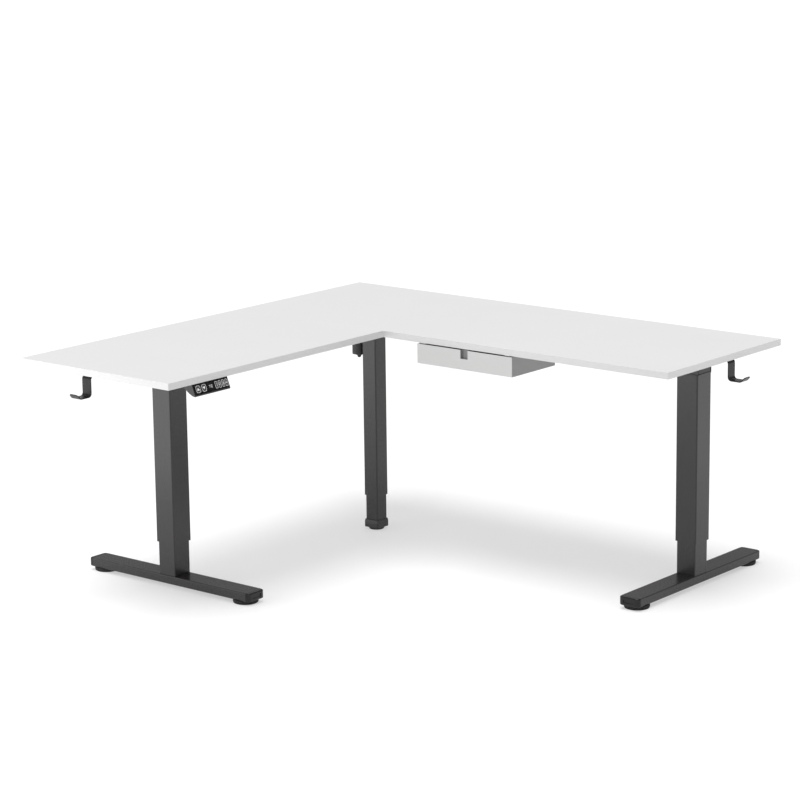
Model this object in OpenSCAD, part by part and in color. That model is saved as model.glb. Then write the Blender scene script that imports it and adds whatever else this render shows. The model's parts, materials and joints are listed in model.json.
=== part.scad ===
// L-shaped height adjustable standing desk with three two-stage lifting columns.
// Millimetres, +Z up. The origin is on the floor, on the axis of the corner leg.
// The right wing runs along +X, the left wing along -Y, and the user sits at +X, -Y.

/* [Desktop] */
// Outer length of the right wing, from the back corner along X
right_wing_l = 1640; // [1400:10:2000]
// Outer length of the left wing, from the back corner along -Y
left_wing_l = 1540; // [1300:10:2000]
// Depth of both wings
wing_depth = 600; // [560:10:720]
// Height of the work surface with the legs fully retracted
top_height = 710; // [650:5:860]
// Thickness of the boards
board_t = 20; // [16:1:30]
// Thickness of the edge band glued round the boards
band_t = 1; // [0.5:0.1:2]

/* [Legs] */
// Distance of the corner leg's axis from both back edges
corner_inset = 370; // [300:5:400]
// Distance of the left leg's axis from the left wing's end
left_inset = 310; // [120:5:400]
// Distance of the right leg's axis from the right wing's end
right_inset = 110; // [90:5:400]
// Lifting travel of the columns
travel = 430; // [350:5:440]
// Outside width of the end legs' outer tubes
end_tube_w = 73; // [60:1:88]
// Outside width of the corner leg's outer tube
corner_tube_w = 54; // [46:1:65]
// Wall of all column tubes
tube_wall = 2; // [1.5:0.1:3]
// Outside corner radius of the column tubes
tube_r = 4; // [2.5:0.5:6]
// Thickness of the plastic glides between the tubes
glide_t = 1.7; // [1.2:0.1:3]
// Height at which the end legs' outer tubes end with the desk at its lowest
tube_mouth_z = 138; // [100:1:160]
// The same height on the corner leg
corner_mouth_z = 112; // [90:1:160]
// Outside diameter of the lead screws
screw_d = 16; // [12:1:18]

/* [Feet] */
// Length of the T feet
foot_l = 660; // [480:10:760]
// Width of the foot beams
foot_w = 70; // [60:1:90]
// Height of the foot beams
foot_h = 26; // [22:1:40]
// Wall of the foot beams
foot_wall = 2; // [1.5:0.1:3]
// Length of the visible part of a foot's end cap
cap_l = 14; // [8:1:25]
// Corner radius of the end caps, seen from above
cap_r = 12; // [6:1:18]
// Diameter of the levelling pads
pad_d = 76; // [40:1:84]
// Height of the levelling pads below the feet of the end legs
pad_h = 12; // [9:0.5:20]
// Height of the levelling pad below the corner foot
corner_pad_h = 7; // [7:0.5:16]
// How far a levelling pad screws out
pad_travel = 8; // [4:1:10]
// Width of the corner foot at its base
corner_foot_w = 56; // [52:1:80]
// Height of the corner foot
corner_foot_h = 26; // [26:1:50]

/* [Frame] */
// Height of the telescoping rails
rail_h = 31; // [26:1:34]
// Width of the telescoping rails
rail_w = 21; // [16:1:24]
// Wall of the rails and their sockets
rail_wall = 2; // [1.5:0.1:3]
// Distance between the centre lines of a pair of rails
rail_gap = 120; // [118:1:150]
// Length of the sockets that the rails slide into
socket_l = 300; // [200:10:340]
// Length of the depthwise arm on each end leg
arm_l = 460; // [400:10:560]
// Width of the depthwise arm
arm_w = 60; // [40:1:80]
// Thickness of the arm, head and seam plates
plate_t = 3; // [2:0.5:4]

/* [Drawer] */
// Width of the drawer
drawer_w = 357; // [280:1:420]
// Depth of the drawer
drawer_d = 215; // [150:1:225]
// Height of the drawer
drawer_h = 60; // [45:1:80]
// Distance of the drawer's left side from the inner corner
drawer_offset = 135; // [80:1:400]
// Sheet thickness of the drawer
drawer_t = 1.2; // [0.8:0.1:2]
// How far the drawer pulls out
drawer_travel = 165; // [100:1:175]
// Side of the square finger notch in the drawer's front
notch_w = 27; // [20:1:40]

/* [Handset] */
// Length of the control handset
handset_l = 146; // [136:1:180]
// Slope of the handset's key face, from the horizontal
face_tilt = 68; // [55:1:75]
// Distance of the handset's middle from the left wing's end
handset_inset = 168; // [120:1:300]
// Travel of the keys
key_travel = 0.8; // [0.4:0.1:1.2]

/* [Hooks] */
// Width of the hooks' strap
hook_w = 35; // [18:1:44]
// Thickness of the hooks' strap
hook_t = 3; // [2:0.5:4]
// How far the hooks hang below the board
hook_drop = 62; // [45:1:90]
// How far the hooks reach out from the strap
hook_out = 58; // [40:1:80]
// Distance of the left hook from the left wing's back edge
left_hook_inset = 266; // [100:1:500]
// Distance of the right hook from the right wing's back edge
right_hook_inset = 258; // [100:1:500]

/* [Hidden] */
$fn = 48;

// Clearances
slide_gap = 0.3;      // between bodies that slide past each other
run_gap = 0.05;       // radial, shaft in bush
fit_gap = 0.25;       // between fixed pieces that slip together
bolt_gap = 0.3;       // radial, bolt or screw in a clearance hole
stop_gap = 3.4;       // left at a stop, over the heads of the flange bolts
eps = 0.01;

// Desktop, counted from the corner leg's axis
back_x = -corner_inset;
back_y = corner_inset;
right_end = back_x + right_wing_l;
left_end = back_y - left_wing_l;
inner_x = back_x + wing_depth;
inner_y = back_y - wing_depth;
board_z = top_height - board_t;

// Leg axes: the end legs stand under the middle of their wings
leg_mid = wing_depth / 2;
left_x = back_x + leg_mid;
left_y = left_end + left_inset;
right_x = right_end - right_inset;
right_y = back_y - leg_mid;

// Column heights
head_h = 42;                              // boards to the outer tubes' flanges
flange_t = 4;
flange_z = board_z - head_h;              // upper face of the outer tubes' flanges
foot_z = pad_h + foot_h;                  // top of the foot beams
corner_foot_z = corner_pad_h + corner_foot_h;
nut_h = 26;
nut_top = flange_z - flange_t - stop_gap;
inner_top = nut_top - 12;                 // the nut's collar sits on the inner tube
end_inner_w = end_tube_w - 2 * (tube_wall + glide_t + slide_gap);
corner_glide_t = 1;                       // the slim corner column has thinner glides
corner_inner_w = corner_tube_w - 2 * (tube_wall + corner_glide_t + slide_gap);
flange_w_end = end_tube_w + 3;
end_bolt_pitch = end_tube_w - 2 * (tube_wall + 4); // these bolts go up from inside the tube
flange_w_corner = corner_tube_w + 24;
flange_bolt = 4.5;                        // from the flange's edge to a bolt's axis
corner_bolt_pitch = flange_w_corner - 2 * flange_bolt;

// Gearboxes and drives
gear_w = end_tube_w - 2 * (plate_t + fit_gap); // the head's cheeks are flush with the column
corner_gear_w = corner_bolt_pitch + 1.7;  // its wall stands over the flange's bolts
gear_wall = 4;
gear_top = board_z - plate_t - fit_gap;
gear_bottom = flange_z;
wheel_r = 20;
wheel_h = 11;
wheel_z = gear_bottom + 11;
journal_r = 6;
bearing_r = 14;
bearing_h = 8;
bearing_z = gear_top - gear_wall + 1 - bearing_h;
screw_low = nut_top - nut_h - travel - 8;
end_gear_out = end_tube_w / 2;            // gearbox beyond the leg's axis, outward
end_gear_in = 48;                         // gearbox before the leg's axis, towards the corner
motor_r = 17.5;
motor_v = end_tube_w / 2 + 1 - motor_r;   // its rim bears on the head's cheek
motor_z = gear_bottom + 19;
motor_l = 104;
corner_motor_r = 19;
cover_t = 2;
cover_gap = 1;
corner_motor_x = -(flange_w_corner / 2 + corner_motor_r + cover_gap + cover_t + 1);
cover_l = 82;                             // the cover hangs this far below the gearbox

// Rails and sockets
socket_w = rail_w + 2 * (rail_wall + fit_gap);
socket_h = rail_h + 2 * (rail_wall + fit_gap);
socket_start = 118;                       // from the corner leg's axis
rail_overlap = 200;
rail_top = board_z - plate_t;
socket_top = rail_top + rail_wall + fit_gap;

// Screws and bolts
wood_r = 2;
wood_l = 14;
wood_head_r = 4.2;
wood_head_h = 2.4;
bolt_r = 3;
bolt_head_r = 5.5;
bolt_head_h = 3.5;
stem_r = 4;
stem_l = 20;

// Drawer
drawer_x = inner_x + drawer_offset;
drawer_gap = 3;                           // below the board
pull_depth = 10;                          // of the finger pocket behind the notch
drawer_top = board_z - drawer_gap;
drawer_front_y = inner_y - 3;
drawer_lip = 12;
guide_t = 1.5;
glide_strip_t = 1.6;
guide_low = drawer_top - drawer_t - glide_strip_t - slide_gap - guide_t;
back_drop = drawer_top - guide_low + 1.4; // the back wall passes under the guides
front_clear = 4;

// Handset: its key face slopes down from the board's edge towards the user
handset_y = left_end + handset_inset;
face_l = 33;
handset_back = 38;
handset_edge = 1;
nose_r = 3;
tail_h = 7;                               // height of the shell's back
tail_bow = 1.6;                           // how hollow the underside's sweep is
fascia_t = 1.5;
pocket_t = 6.5;
pocket_rim = 2.2;
key_gap = 0.35;
key_proud = 1;
face_x = inner_x - handset_edge;

// Control box
box_x = inner_x + 270;
box_y = right_y + rail_gap / 2 + 24;
box_l = 240;
box_w = 88;
box_h = 36;
box_wall = 2.2;
box_tab = 14;

function corners(w, d) = [for (x = [-w / 2, w / 2], y = [-d / 2, d / 2]) [x, y]];

// ---------- shared shapes ----------

// Rounded rectangle with true arcs
module rounded(w, d, r) {
    square([w - 2 * r, d], center = true);
    square([w, d - 2 * r], center = true);
    for (p = corners(w - 2 * r, d - 2 * r)) translate(p) circle(r);
}

module block(w, d, h, r) linear_extrude(h) rounded(w, d, r);

module tube(w, d, h, r, wall) {
    linear_extrude(h) difference() {
        rounded(w, d, r);
        rounded(w - 2 * wall, d - 2 * wall, max(r - wall, 0.4));
    }
}

// Wing frames: x runs outward along the wing, y towards the wing's back edge
module on_left() translate([left_x, left_y, 0]) rotate(-90) mirror([0, 1, 0]) children();
module on_right() translate([right_x, right_y, 0]) children();
module on_left_wing() translate([left_x, 0, 0]) rotate(-90) mirror([0, 1, 0]) children();
module on_right_wing() translate([0, right_y, 0]) children();

// ---------- screw and bolt places ----------

arm_screws = [for (v = [-arm_l / 2 + 20, -arm_l / 2 + 110, arm_l / 2 - 110, arm_l / 2 - 20]) [0, v]];
left_arm_screws = [for (p = arm_screws) [left_x - p[1], left_y - p[0]]];
right_arm_screws = [for (p = arm_screws) [right_x + p[0], right_y + p[1]]];
corner_plate_w = 190;
corner_screws = corners(corner_plate_w - 24, corner_plate_w - 24);
seam_plate_l = 110;
seam_plate_w = 50;
seam_xs = [back_x + 60, inner_x - 60];
seam_screws = [for (x = seam_xs, p = corners(seam_plate_w - 22, seam_plate_l - 24))
    [x + p[0], inner_y + p[1]]];
guide_l = drawer_d - 12;
guide_xs = [drawer_x + drawer_lip + 9, drawer_x + drawer_w - drawer_lip - 9];
guide_screws = [for (x = guide_xs, k = [0.15, 0.5, 0.85]) [x, drawer_front_y + front_clear + guide_l * k]];
hook_foot_l = 46;
hook_bend_r = 9;
hook_tip = 14;                            // straight end of the strap
hook_lean = 48;                           // its lean, from the horizontal
hook_round = 8;
hook_screw_ks = [16, 34];
left_hook_x = back_x + left_hook_inset;
right_hook_y = back_y - right_hook_inset;
hook_set_back = 10;
left_hook_screws = [for (k = hook_screw_ks) [left_hook_x, left_end + hook_set_back + k]];
right_hook_screws = [for (k = hook_screw_ks) [right_end - hook_set_back - k, right_hook_y]];
handset_screws = [for (s = [-1, 1]) [inner_x - handset_back + 11, handset_y + s * (handset_l / 2 - 14)]];
box_screws = [for (x = [box_x - box_tab / 2, box_x + box_l + box_tab / 2], y = [18, box_w - 18])
    [x, box_y + y]];

// Each group: list of places and the thickness of what the screws hold
main_board_screws = concat(right_arm_screws, corner_screws,
    [for (p = seam_screws) if (p[1] > inner_y) p],
    guide_screws, right_hook_screws, box_screws);
return_board_screws = concat(left_arm_screws, [for (p = seam_screws) if (p[1] < inner_y) p],
    left_hook_screws, handset_screws);

module wood_screw(grip) {
    translate([0, 0, board_z - grip]) {
        cylinder(h = wood_l, r = wood_r);
        difference() {
            translate([0, 0, -wood_head_h])
                cylinder(h = wood_head_h, r1 = wood_head_r - 1, r2 = wood_head_r);
            for (a = [0, 90]) rotate(a)
                translate([-2.2, -0.4, -wood_head_h - eps]) cube([4.4, 0.8, 1.2]);
        }
    }
}

module pilot_holes(places) {
    for (p = places) translate([p[0], p[1], board_z - eps]) cylinder(h = wood_l, r = wood_r + run_gap);
}

module screw_holes(places, low) {
    for (p = places) translate([p[0], p[1], low]) cylinder(h = board_z - low + eps, r = wood_r + bolt_gap);
}

// ---------- desktop ----------

module main_board() color("white") difference() {
    translate([back_x + band_t, inner_y + band_t, board_z])
        cube([right_wing_l - 2 * band_t, wing_depth - 2 * band_t, board_t]);
    pilot_holes(main_board_screws);
}

module return_board() color("white") difference() {
    translate([back_x + band_t, left_end + band_t, board_z])
        cube([wing_depth - 2 * band_t, left_wing_l - wing_depth - band_t, board_t]);
    pilot_holes(return_board_screws);
}

module band(x, y, w, d) translate([x, y, board_z]) cube([w, d, board_t]);

module edge_bands() color("white") {
    band(back_x, inner_y, band_t, wing_depth);
    band(back_x + band_t, back_y - band_t, right_wing_l - 2 * band_t, band_t);
    band(right_end - band_t, inner_y, band_t, wing_depth);
    band(back_x + band_t, inner_y, right_wing_l - 2 * band_t, band_t);
    band(back_x, left_end, band_t, inner_y - left_end);
    band(back_x + band_t, left_end, wing_depth - 2 * band_t, band_t);
    band(inner_x - band_t, left_end, band_t, inner_y - left_end);
}

module seam_plates() color("dimgray") difference() {
    for (x = seam_xs) translate([x, inner_y, board_z - plate_t])
        block(seam_plate_w, seam_plate_l, plate_t, 6);
    screw_holes(seam_screws, board_z - plate_t - 1);
}

module wood_screws() color("silver") {
    for (p = concat(left_arm_screws, right_arm_screws, corner_screws, seam_screws))
        translate([p[0], p[1], 0]) wood_screw(plate_t);
    for (p = guide_screws) translate([p[0], p[1], 0]) wood_screw(guide_t);
    for (p = concat(left_hook_screws, right_hook_screws))
        translate([p[0], p[1], 0]) wood_screw(hook_t);
    for (p = handset_screws) translate([p[0], p[1], 0]) wood_screw(3);
    for (p = box_screws) translate([p[0], p[1], 0]) wood_screw(box_wall);
}

// ---------- columns ----------

// Outer tube with its welded flange, open at the bottom
module outer_tube(w, flange_w, pitch, mouth_z) color("dimgray") {
    translate([0, 0, mouth_z]) tube(w, w, flange_z - flange_t - mouth_z, tube_r, tube_wall);
    translate([0, 0, flange_z - flange_t]) difference() {
        block(flange_w, flange_w, flange_t, 6);
        translate([0, 0, -1]) cylinder(h = flange_t + 2, r = screw_d / 2 + 1);
        for (p = corners(pitch, pitch)) translate([p[0], p[1], -1])
            cylinder(h = flange_t + 2, r = 2 + bolt_gap);
    }
}

module end_outer_tube() outer_tube(end_tube_w, flange_w_end, end_bolt_pitch, tube_mouth_z);
module left_outer_tube() on_left() end_outer_tube();
module right_outer_tube() on_right() end_outer_tube();
module corner_outer_tube()
    outer_tube(corner_tube_w, flange_w_corner, corner_bolt_pitch, corner_mouth_z);

// Plastic sleeve pressed into an outer tube's mouth
module tube_glide(w, t, mouth_z) {
    cavity = w - 2 * tube_wall;
    translate([0, 0, mouth_z]) tube(cavity, cavity, 60, max(tube_r - tube_wall, 0.4), t);
}

module tube_glides() color("black") {
    on_left() tube_glide(end_tube_w, glide_t, tube_mouth_z);
    on_right() tube_glide(end_tube_w, glide_t, tube_mouth_z);
    tube_glide(corner_tube_w, corner_glide_t, corner_mouth_z);
}

module inner_tube(w, low) color("dimgray") {
    translate([0, 0, low]) tube(w, w, inner_top - low, tube_r - 1, tube_wall);
    // Welded floor that the foot is bolted to
    translate([0, 0, low]) difference() {
        cavity = w - 2 * tube_wall + eps;
        block(cavity, cavity, 8, 1);
        for (p = corners(foot_bolt_pitch(w), foot_bolt_pitch(w)))
            translate([p[0], p[1], -1]) cylinder(h = 10, r = bolt_r + run_gap);
    }
}

function foot_bolt_pitch(w) = w - 2 * tube_wall - 22;

module left_inner_tube() on_left() inner_tube(end_inner_w, foot_z);
module right_inner_tube() on_right() inner_tube(end_inner_w, foot_z);
module corner_inner_tube() inner_tube(corner_inner_w, corner_foot_z);

// Nut block: its body plugs the inner tube and its collar slides in the outer tube
module lead_nut(outer_w, inner_w) color("ivory") difference() {
    plug = inner_w - 2 * (tube_wall + fit_gap);
    collar = outer_w - 2 * (tube_wall + slide_gap);
    union() {
        translate([0, 0, nut_top - nut_h]) block(plug, plug, nut_h, 1.5);
        translate([0, 0, inner_top]) block(collar, collar, nut_top - inner_top, 2);
    }
    translate([0, 0, nut_top - nut_h - 1]) cylinder(h = nut_h + 2, r = screw_d / 2 + run_gap);
}

module left_nut() on_left() lead_nut(end_tube_w, end_inner_w);
module right_nut() on_right() lead_nut(end_tube_w, end_inner_w);
module corner_nut() lead_nut(corner_tube_w, corner_inner_w);

// Lead screw with the drive wheel pressed on its upper shank
module lead_screw() color("silver") {
    translate([0, 0, screw_low]) cylinder(h = gear_bottom + 6 - screw_low, r = screw_d / 2);
    translate([0, 0, gear_bottom + 6]) cylinder(h = bearing_z + bearing_h - gear_bottom - 6, r = journal_r);
    color("goldenrod") translate([0, 0, wheel_z]) difference() {
        cylinder(h = wheel_h, r = wheel_r);
        translate([0, 0, -1]) cylinder(h = wheel_h + 2, r = journal_r);
        for (a = [0:15:345]) rotate(a)
            translate([wheel_r - 1.6, -1, -1]) cube([3, 2, wheel_h + 2]);
    }
}

module left_screw() on_left() lead_screw();
module right_screw() on_right() lead_screw();
module corner_screw() lead_screw();

module screw_bearing() translate([0, 0, bearing_z]) difference() {
    cylinder(h = bearing_h, r = bearing_r);
    translate([0, 0, -1]) cylinder(h = bearing_h + 2, r = journal_r + run_gap);
}

module screw_bearings() color("silver") {
    on_left() screw_bearing();
    on_right() screw_bearing();
    screw_bearing();
}

// ---------- gearboxes and motors ----------

// Casing open at the bottom, from x0 to x1 along the wing
module gear_case(x0, x1, w) difference() {
    translate([(x0 + x1) / 2, 0, gear_bottom]) block(x1 - x0, w, gear_top - gear_bottom, 5);
    translate([(x0 + x1) / 2, 0, gear_bottom - 1])
        block(x1 - x0 - 2 * gear_wall, w - 2 * gear_wall, bearing_z - 2 - gear_bottom + 1, 3);
    translate([0, 0, bearing_z - 3]) cylinder(h = bearing_h + 3, r = bearing_r + run_gap);
}

module end_gearbox() color("darkslategray") difference() {
    gear_case(-end_gear_in, end_gear_out, gear_w);
    translate([-end_gear_in - 1, motor_v, motor_z]) rotate([0, 90, 0]) cylinder(h = gear_wall + 2, r = 5);
}

module left_gearbox() on_left() end_gearbox();
module right_gearbox() on_right() end_gearbox();

module corner_gearbox() color("darkslategray")
    gear_case(corner_motor_x - corner_motor_r - gear_wall - 4, 40, corner_gear_w);

// Tubular motor lying beside the leg's axis, pointing at the corner
module end_motor() color("gray") translate([-end_gear_in, motor_v, motor_z]) rotate([0, -90, 0]) {
    cylinder(h = 30, r = motor_r);
    translate([0, 0, 30]) cylinder(h = 3, r = motor_r - 1.5);
    translate([0, 0, 33]) cylinder(h = motor_l - 33, r = motor_r);
    translate([0, 0, motor_l]) cylinder(h = 5, r = motor_r - 9);
    translate([0, 0, -gear_wall - 6]) cylinder(h = gear_wall + 6, r = 4);
}

module left_motor() on_left() end_motor();
module right_motor() on_right() end_motor();

// Motor hanging beside the corner column, because that tube is too slim to hide it
module corner_motor() color("gray") translate([corner_motor_x, 0, 0]) {
    translate([0, 0, gear_bottom - cover_l + 8]) cylinder(h = cover_l - 8, r = corner_motor_r);
    translate([0, 0, gear_bottom]) cylinder(h = 14, r = 5);
    translate([0, 0, gear_bottom + 2]) cylinder(h = 9, r = 12);
}

module motor_cover() color("black") translate([corner_motor_x, 0, 0]) difference() {
    out = corner_motor_r + cover_gap + cover_t;
    union() {
        translate([0, 0, gear_bottom - cover_l]) cylinder(h = cover_l, r = out);
        translate([0, 0, gear_bottom - cover_l - 4]) cylinder(h = 4, r1 = 10, r2 = 14);
        translate([0, 0, gear_bottom - cover_l - 12]) cylinder(h = 8, r1 = 4, r2 = 8);
    }
    translate([0, 0, gear_bottom - cover_l + cover_t]) cylinder(h = cover_l, r = out - cover_t);
}

// ---------- heads, rails and sockets ----------

// Head of an end leg: depthwise arm with end lips and two cheeks round the gearbox
module end_head() color("dimgray") {
    cheek = gear_w / 2 + fit_gap;
    difference() {
        union() {
            translate([0, 0, board_z - plate_t]) block(arm_w, arm_l, plate_t, 6);
            translate([(head_out - head_in) / 2, 0, board_z - plate_t])
                block(head_in + head_out, rail_gap + rail_w + 4, plate_t, 6);
        }
        for (p = arm_screws) translate([p[0], p[1], board_z - plate_t - 1])
            cylinder(h = plate_t + 2, r = wood_r + bolt_gap);
        for (x = rail_bolt_us, y = [-rail_gap / 2, rail_gap / 2]) translate([x, y, board_z - plate_t - 1])
            cylinder(h = plate_t + 2, r = bolt_r + bolt_gap);
    }
    for (s = [-1, 1]) {
        translate([-end_gear_in, s > 0 ? cheek : -cheek - plate_t, flange_z])
            cube([end_gear_in + end_gear_out, plate_t, board_z - plate_t - flange_z + eps]);
        for (x = [-arm_w / 2, arm_w / 2 - plate_t])
            translate([x, s > 0 ? lip_start : -arm_l / 2 + 6, board_z - plate_t - lip_h])
                cube([plate_t, arm_l / 2 - 6 - lip_start, lip_h + eps]);
    }
}

rail_bolt_us = [-58, -20];
head_in = 74;
head_out = end_gear_out + 4;
lip_h = 8;
lip_start = rail_gap / 2 + rail_w / 2 + 8;

module left_head() on_left() end_head();
module right_head() on_right() end_head();

// Sockets stand on the corner plate's edge, one pair towards each wing
module sockets() for (y = [-rail_gap / 2, rail_gap / 2])
    translate([socket_start, y, socket_top - socket_h / 2]) rotate([0, 90, 0])
        difference() {
            tube(socket_h, socket_w, socket_l, 2, rail_wall);
            for (u = socket_bolt_us) translate([socket_h / 2 + 1, 0, u - socket_start]) rotate([0, -90, 0])
                cylinder(h = rail_wall + 2, r = bolt_r + bolt_gap);
        }

socket_bolt_us = [socket_start + socket_l - 90, socket_start + socket_l - 30];

module corner_head() color("dimgray") {
    difference() {
        union() {
            translate([0, 0, board_z - plate_t]) block(corner_plate_w, corner_plate_w, plate_t, 8);
            // tongues that the sockets are welded to
            translate([-corner_inset + leg_mid - rail_gap / 2 - 20, -socket_start - 60, board_z - plate_t])
                cube([rail_gap + 40, 60 + 30, plate_t]);
            translate([socket_start - 30, corner_inset - leg_mid - rail_gap / 2 - 20, board_z - plate_t])
                cube([60 + 30, rail_gap + 40, plate_t]);
        }
        screw_holes(corner_screws, board_z - plate_t - 1);
        on_left_wing() socket_room();
        on_right_wing() socket_room();
    }
    for (y = [corner_gear_w / 2 + fit_gap, -corner_gear_w / 2 - fit_gap - plate_t])
        translate([-corner_gear_w / 2 - 6, y, flange_z])
            cube([corner_gear_w + 12, plate_t, board_z - plate_t - flange_z + eps]);
    on_left_wing() sockets();
    on_right_wing() sockets();
}

module socket_room() for (y = [-rail_gap / 2, rail_gap / 2])
    translate([socket_start - eps, y - socket_w / 2 + rail_wall, socket_top - socket_h + rail_wall])
        cube([socket_l, socket_w - 2 * rail_wall, socket_h - 2 * rail_wall]);

// Rails reach from inside the sockets to the end leg's head
module rails(end_u) color("gray") for (y = [-rail_gap / 2, rail_gap / 2])
    translate([socket_start + socket_l - rail_overlap, y, rail_top - rail_h / 2]) rotate([0, 90, 0])
        difference() {
            tube(rail_h, rail_w, end_u - socket_start - socket_l + rail_overlap, 2, rail_wall);
            for (u = rail_bolt_us)
                translate([0, 0, end_u - rail_tail + u - socket_start - socket_l + rail_overlap])
                    rotate([0, 90, 0]) translate([0, 0, -rail_h])
                        cylinder(h = 2 * rail_h, r = bolt_r + run_gap);
        }

rail_tail = -6;                           // the rails end just before the leg's axis
left_leg_u = -left_y;
right_leg_u = right_x;

module left_rails() on_left_wing() rails(left_leg_u + rail_tail);
module right_rails() on_right_wing() rails(right_leg_u + rail_tail);

// Bolt pointing up, its head's top at the given height
module up_bolt(z, l) translate([0, 0, z]) {
    cylinder(h = l, r = bolt_r);
    difference() {
        translate([0, 0, -bolt_head_h]) cylinder(h = bolt_head_h, r = bolt_head_r);
        translate([0, 0, -bolt_head_h - eps]) cylinder(h = 2, r = 2.9, $fn = 6);
    }
}

module frame_bolts() color("silver") {
    on_left_wing() rail_bolts(left_leg_u);
    on_right_wing() rail_bolts(right_leg_u);
    on_left() flange_bolts(end_bolt_pitch);
    on_right() flange_bolts(end_bolt_pitch);
    flange_bolts(corner_bolt_pitch);
}

module rail_bolts(leg_u) for (y = [-rail_gap / 2, rail_gap / 2]) {
    for (u = rail_bolt_us) translate([leg_u + u, y, 0]) up_bolt(rail_top - rail_h, rail_h + 2);
    for (u = socket_bolt_us) translate([u, y, 0])
        up_bolt(socket_top - socket_h, rail_wall - eps);
}

module flange_bolts(pitch) for (p = corners(pitch, pitch))
    translate([p[0], p[1], flange_z - flange_t]) {
        cylinder(h = flange_t, r = 2);
        translate([0, 0, -2.6]) cylinder(h = 2.6, r = 3.6);
    }

// ---------- feet ----------

pad_inset = 6;                            // from the foot's end to a pad's rim

// Rectangular tube with pad nuts, its length along the wing's depth
module foot_beam() color("dimgray") {
    beam_l = foot_l - 2 * cap_l;
    difference() {
        translate([0, beam_l / 2, pad_h + foot_h / 2]) rotate([90, 0, 0])
            tube(foot_w, foot_h, beam_l, 3, foot_wall);
        for (p = corners(foot_bolt_pitch(end_inner_w), foot_bolt_pitch(end_inner_w))) {
            translate([p[0], p[1], foot_z - foot_wall - 1])
                cylinder(h = foot_wall + 2, r = bolt_r + bolt_gap);
            translate([p[0], p[1], pad_h - 1]) cylinder(h = foot_wall + 2, r = bolt_head_r + 1);
        }
        for (y = [-pad_pitch / 2, pad_pitch / 2]) translate([0, y, pad_h - 1])
            cylinder(h = foot_h - foot_wall, r = stem_r + run_gap);
    }
    for (y = [-pad_pitch / 2, pad_pitch / 2]) translate([0, y, pad_h + foot_wall - eps]) difference() {
        cylinder(h = 7, r = 8, $fn = 6);
        translate([0, 0, -1]) cylinder(h = 9, r = stem_r + run_gap);
    }
}

pad_pitch = foot_l - pad_d - 2 * pad_inset;

module left_foot_beam() on_left() foot_beam();
module right_foot_beam() on_right() foot_beam();

// Cap with rounded corners, a shallow grip slot in its face and a plug in the tube
module end_cap() color("black") {
    plug_l = 12;
    plug_w = foot_w - 2 * (foot_wall + 2 * fit_gap);
    plug_h = foot_h - 2 * (foot_wall + 2 * fit_gap);
    slot_h = foot_h * 0.38;
    difference() {
        union() {
            translate([0, 0, pad_h]) linear_extrude(foot_h) intersection() {
                rounded(foot_w, 2 * cap_l, min(cap_r, cap_l - 0.5));
                translate([-foot_w, 0]) square([2 * foot_w, 2 * cap_l]);
            }
            translate([-plug_w / 2, -plug_l, pad_h + (foot_h - plug_h) / 2])
                cube([plug_w, plug_l + eps, plug_h]);
        }
        translate([-foot_w * 0.23, cap_l - 1.6, pad_h + (foot_h - slot_h) / 2])
            cube([foot_w * 0.46, 3, slot_h]);
        translate([-plug_w / 2 + 2, -plug_l - 1, pad_h + (foot_h - plug_h) / 2 + 2])
            cube([plug_w - 4, plug_l + 3, plug_h - 4]);
    }
}

module end_caps() for (a = [0, 180]) rotate(a) translate([0, foot_l / 2 - cap_l, 0]) end_cap();

module left_end_caps() on_left() end_caps();
module right_end_caps() on_right() end_caps();

module foot_bolts() color("silver")
    for (p = corners(foot_bolt_pitch(end_inner_w), foot_bolt_pitch(end_inner_w)))
        translate([p[0], p[1], 0]) up_bolt(foot_z - foot_wall, foot_wall + 8);

module left_foot_bolts() on_left() foot_bolts();
module right_foot_bolts() on_right() foot_bolts();

// Square foot that flares towards the floor
module corner_foot() color("dimgray") difference() {
    collar_w = corner_inner_w + 4;
    flare_h = corner_foot_h * 0.55;
    union() {
        translate([0, 0, corner_pad_h]) block(corner_foot_w, corner_foot_w, corner_foot_h - flare_h, 5);
        translate([0, 0, corner_foot_z - flare_h]) difference() {
            block(corner_foot_w, corner_foot_w, flare_h, 5);
            slope = atan2((corner_foot_w - collar_w) / 2, flare_h);
            for (a = [0:90:270]) rotate(a) translate([corner_foot_w / 2, 0, 0]) rotate([0, -slope, 0])
                translate([0, -corner_foot_w, -5]) cube([corner_foot_w, 2 * corner_foot_w, 3 * flare_h]);
        }
    }
    translate([0, 0, corner_pad_h - 1]) cylinder(h = stem_l + 5, r = stem_r + run_gap);
}

// Levelling pad with a gripped rim and a threaded stem drawn at its major diameter
module pad(d, h) color("black") {
    difference() {
        union() {
            cylinder(h = 1.2, r1 = d / 2 - 2.5, r2 = d / 2 - 1);
            translate([0, 0, 1.2]) cylinder(h = 2.8, r = d / 2 - 1);
            translate([0, 0, 4]) cylinder(h = h - slide_gap - 5, r = d / 2);
            translate([0, 0, h - slide_gap - 1]) cylinder(h = 1, r1 = d / 2, r2 = d / 2 - 1);
        }
        for (a = [0:30:330]) rotate(a) translate([d / 2 + 1.6, 0, 4.6]) cylinder(h = h, r = 3, $fn = 24);
    }
    translate([0, 0, h - slide_gap - eps]) cylinder(h = stem_l, r = stem_r);
}

module left_front_pad() on_left() translate([0, -pad_pitch / 2, 0]) pad(pad_d, pad_h);
module left_back_pad() on_left() translate([0, pad_pitch / 2, 0]) pad(pad_d, pad_h);
module right_front_pad() on_right() translate([0, -pad_pitch / 2, 0]) pad(pad_d, pad_h);
module right_back_pad() on_right() translate([0, pad_pitch / 2, 0]) pad(pad_d, pad_h);
module corner_pad() pad(corner_foot_w - 6, corner_pad_h);

// ---------- drawer ----------

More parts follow.
